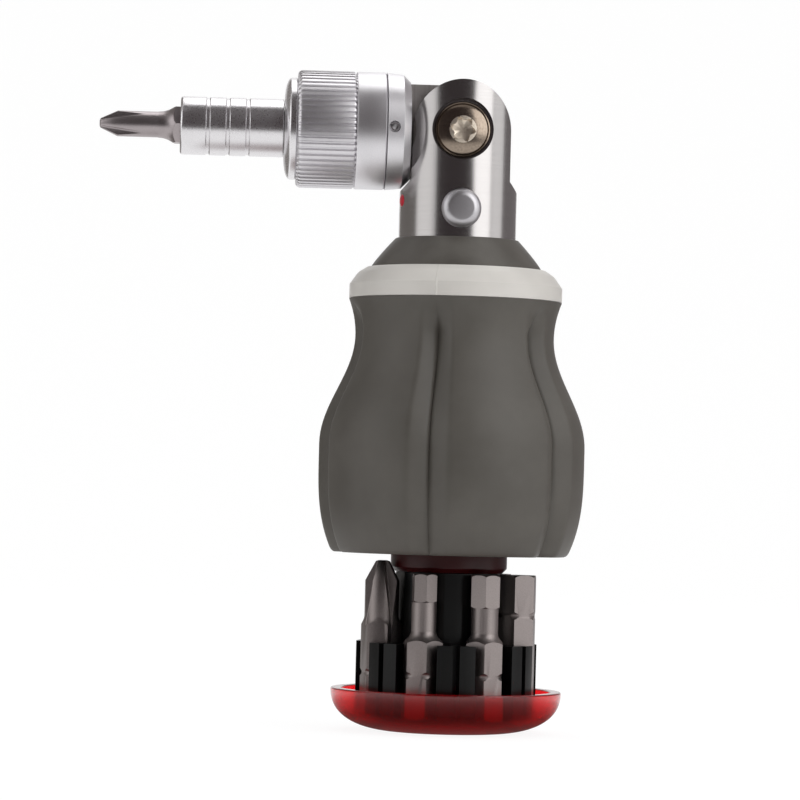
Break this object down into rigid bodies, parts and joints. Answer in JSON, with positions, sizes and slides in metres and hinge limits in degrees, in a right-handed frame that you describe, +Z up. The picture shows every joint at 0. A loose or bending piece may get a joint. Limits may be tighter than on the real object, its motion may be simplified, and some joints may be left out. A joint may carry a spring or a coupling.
{
  "type": "ratcheting screwdriver",
  "caption": "Stubby ratcheting screwdriver with a folding ratchet head, a fluted rubber grip and a pull-out red bit store under the handle.",
  "frame": {"origin": "centre of the flat foot of the storage cap", "axes": "+Z up along the handle, -X along the ratchet head to the tip of its bit, -Y towards the face with the pivot screw's head and the lock button"},
  "size_m": [0.0881, 0.0474, 0.1176],
  "materials": {
    "core_plastic": "moulded, out of sight",
    "grip_rubber": "soft-touch, matt",
    "ring_plastic": "satin",
    "cone_plastic": "satin",
    "black_plastic": "moulded, slight sheen",
    "brushed_steel": "brushed along the bar",
    "plain_steel": "turned",
    "tongue_steel": "ground",
    "spring_steel": "drawn wire",
    "satin_chrome": "satin plated",
    "dark_nickel": "dark nickel plated",
    "washer_brass": "rolled sheet",
    "red_paint": "gloss dot",
    "bit_steel": "blasted, grey",
    "red_plastic": "see-through red, polished"
  },
  "bodies": {
    "handle": {"handle_core": "core_plastic", "handle_grip": "grip_rubber", "trim_ring": "ring_plastic", "handle_cone": "cone_plastic", "post_guide": "black_plastic", "yoke": "brushed_steel", "stem_pin": "plain_steel", "pivot_screw": "dark_nickel", "pivot_nut": "dark_nickel", "tilt_washers": "washer_brass", "lock_indicator": "red_paint", "lock_spring": "spring_steel"},
    "lock_button": {"lock_button": "satin_chrome"},
    "lock_plunger": {"lock_plunger": "plain_steel"},
    "head": {"tongue_block": "tongue_steel", "ratchet_body": "satin_chrome", "collar_roll_pin": "spring_steel", "front_cap": "satin_chrome", "pawl_pins": "plain_steel", "pawl_springs": "spring_steel", "selector_stop_pin": "plain_steel", "detent_ball": "plain_steel", "detent_spring": "spring_steel"},
    "selector": {"selector_sleeve": "satin_chrome"},
    "pawl_forward": {"pawl_forward": "plain_steel"},
    "pawl_reverse": {"pawl_reverse": "plain_steel"},
    "spindle": {"ratchet_spindle": "plain_steel", "bit_holder": "satin_chrome", "holder_magnet": "plain_steel", "holder_clip": "spring_steel"},
    "driver_bit": {"driver_bit": "bit_steel"},
    "storage": {"storage_cap": "red_plastic", "storage_post": "red_plastic", "post_stop_ring": "spring_steel"},
    "carousel": {"bit_carousel": "black_plastic"},
    "stored_bit_cross_3": {"stored_bit_cross_3": "bit_steel"},
    "stored_bit_hex_4": {"stored_bit_hex_4": "bit_steel"},
    "stored_bit_hex_5": {"stored_bit_hex_5": "bit_steel"},
    "stored_bit_hex_6": {"stored_bit_hex_6": "bit_steel"},
    "stored_bit_slot_6": {"stored_bit_slot_6": "bit_steel"},
    "stored_bit_star_20": {"stored_bit_star_20": "bit_steel"},
    "stored_bit_cross_1": {"stored_bit_cross_1": "bit_steel"}
  },
  "joints": [
    {"name": "head_tilt", "type": "hinge", "parent": "handle", "child": "head", "pos_m": [0, 0, 0.10705], "axis": [0, 1, 0], "range_deg": [0, 180]},
    {"name": "lock_button_press", "type": "slide", "parent": "handle", "child": "lock_button", "axis": [0, 1, 0], "range_m": [0, 0.0018], "stiffness_N_per_m": 300, "springref_m": -0.001},
    {"name": "lock_plunger_lift", "type": "slide", "parent": "handle", "child": "lock_plunger", "axis": [0, 0, 1], "range_m": [0, 0.00127]},
    {"name": "selector_turn", "type": "hinge", "parent": "head", "child": "selector", "pos_m": [0, 0, 0.10705], "axis": [-1, 0, 0], "range_deg": [0, 40]},
    {"name": "pawl_forward_rock", "type": "hinge", "parent": "head", "child": "pawl_forward", "pos_m": [-0.0206, 0.00072, 0.11391], "axis": [-1, 0, 0], "range_deg": [0, 13.95]},
    {"name": "pawl_reverse_rock", "type": "hinge", "parent": "head", "child": "pawl_reverse", "pos_m": [-0.0206, 0.00072, 0.10019], "axis": [-1, 0, 0], "range_deg": [0, 13.95]},
    {"name": "spindle_spin", "type": "hinge", "parent": "head", "child": "spindle", "pos_m": [0, 0, 0.10705], "axis": [-1, 0, 0], "continuous": true},
    {"name": "bit_pull", "type": "slide", "parent": "spindle", "child": "driver_bit", "axis": [-1, 0, 0], "range_m": [0, 0.012]},
    {"name": "storage_slide", "type": "slide", "parent": "handle", "child": "storage", "axis": [0, 0, 1], "range_m": [0, 0.024]},
    {"name": "carousel_spin", "type": "hinge", "parent": "storage", "child": "carousel", "pos_m": [0, 0, 0.0035], "axis": [0, 0, 1], "continuous": true},
    {"name": "bit_cross_3_tip_out", "type": "hinge", "parent": "carousel", "child": "stored_bit_cross_3", "pos_m": [-0.01503, -0.00417, 0.0033], "axis": [-0.2672, 0.9636, 0], "range_deg": [-25, 0]},
    {"name": "bit_hex_4_tip_out", "type": "hinge", "parent": "carousel", "child": "stored_bit_hex_4", "pos_m": [-0.00611, -0.01435, 0.0033], "axis": [-0.92, 0.3919, 0], "range_deg": [-25, 0]},
    {"name": "bit_hex_5_tip_out", "type": "hinge", "parent": "carousel", "child": "stored_bit_hex_5", "pos_m": [0.00741, -0.01373, 0.0033], "axis": [-0.88, -0.475, 0], "range_deg": [-25, 0]},
    {"name": "bit_hex_6_tip_out", "type": "hinge", "parent": "carousel", "child": "stored_bit_hex_6", "pos_m": [0.01535, -0.00277, 0.0033], "axis": [-0.1773, -0.9842, 0], "range_deg": [-25, 0]},
    {"name": "bit_slot_6_tip_out", "type": "hinge", "parent": "carousel", "child": "stored_bit_slot_6", "pos_m": [0.01174, 0.01028, 0.0033], "axis": [0.6589, -0.7523, 0], "range_deg": [-25, 0]},
    {"name": "bit_star_20_tip_out", "type": "hinge", "parent": "carousel", "child": "stored_bit_star_20", "pos_m": [-0.00072, 0.01558, 0.0033], "axis": [0.9989, 0.0461, 0], "range_deg": [-25, 0]},
    {"name": "bit_cross_1_tip_out", "type": "hinge", "parent": "carousel", "child": "stored_bit_cross_1", "pos_m": [-0.01263, 0.00915, 0.0033], "axis": [0.5868, 0.8097, 0], "range_deg": [-25, 0]}
  ],
  "couplings": [
    {"joint": "lock_plunger_lift", "follows": "lock_button_press", "ratio": 0.7},
    {"joint": "pawl_forward_rock", "follows": "selector_turn", "ratio": 0.3475},
    {"joint": "pawl_reverse_rock", "follows": "selector_turn", "ratio": 0.3475}
  ]
}
